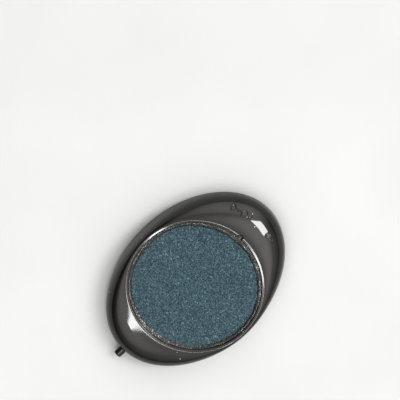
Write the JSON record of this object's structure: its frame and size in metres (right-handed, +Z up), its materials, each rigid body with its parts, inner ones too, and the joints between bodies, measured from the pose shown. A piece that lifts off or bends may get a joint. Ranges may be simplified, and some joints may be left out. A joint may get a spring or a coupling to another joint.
{
  "type": "air stone",
  "caption": "Round porous bubble stone glued into a dark elliptical weighted base, with an air chamber below it and a short airline tube at one end.",
  "frame": {"origin": "on the stone disc's axis, on the surface that the foot ring rests on", "axes": "+Z up through the stone, +X along the body's length away from the air inlet, +Y across the body"},
  "size_m": [0.104, 0.0716, 0.015],
  "materials": {
    "shell_plastic": "polished charcoal moulding",
    "tray_plastic": "satin black moulding",
    "porous_stone": "bonded mineral grains, blue-grey",
    "glue": "glossy cured epoxy, dark",
    "rubber": "soft black",
    "inlet_plastic": "glossy black",
    "weight_metal": "epoxy-coated steel"
  },
  "bodies": {
    "root": {"top_shell": "shell_plastic", "base_tray": "tray_plastic", "stone_disc": "porous_stone", "bond_bead": "glue", "chamber_gasket": "rubber", "inlet_tube": "inlet_plastic", "inlet_seal_washer": "rubber", "nose_weight": "weight_metal", "tail_weight_left": "weight_metal", "tail_weight_right": "weight_metal"}
  },
  "joints": []
}
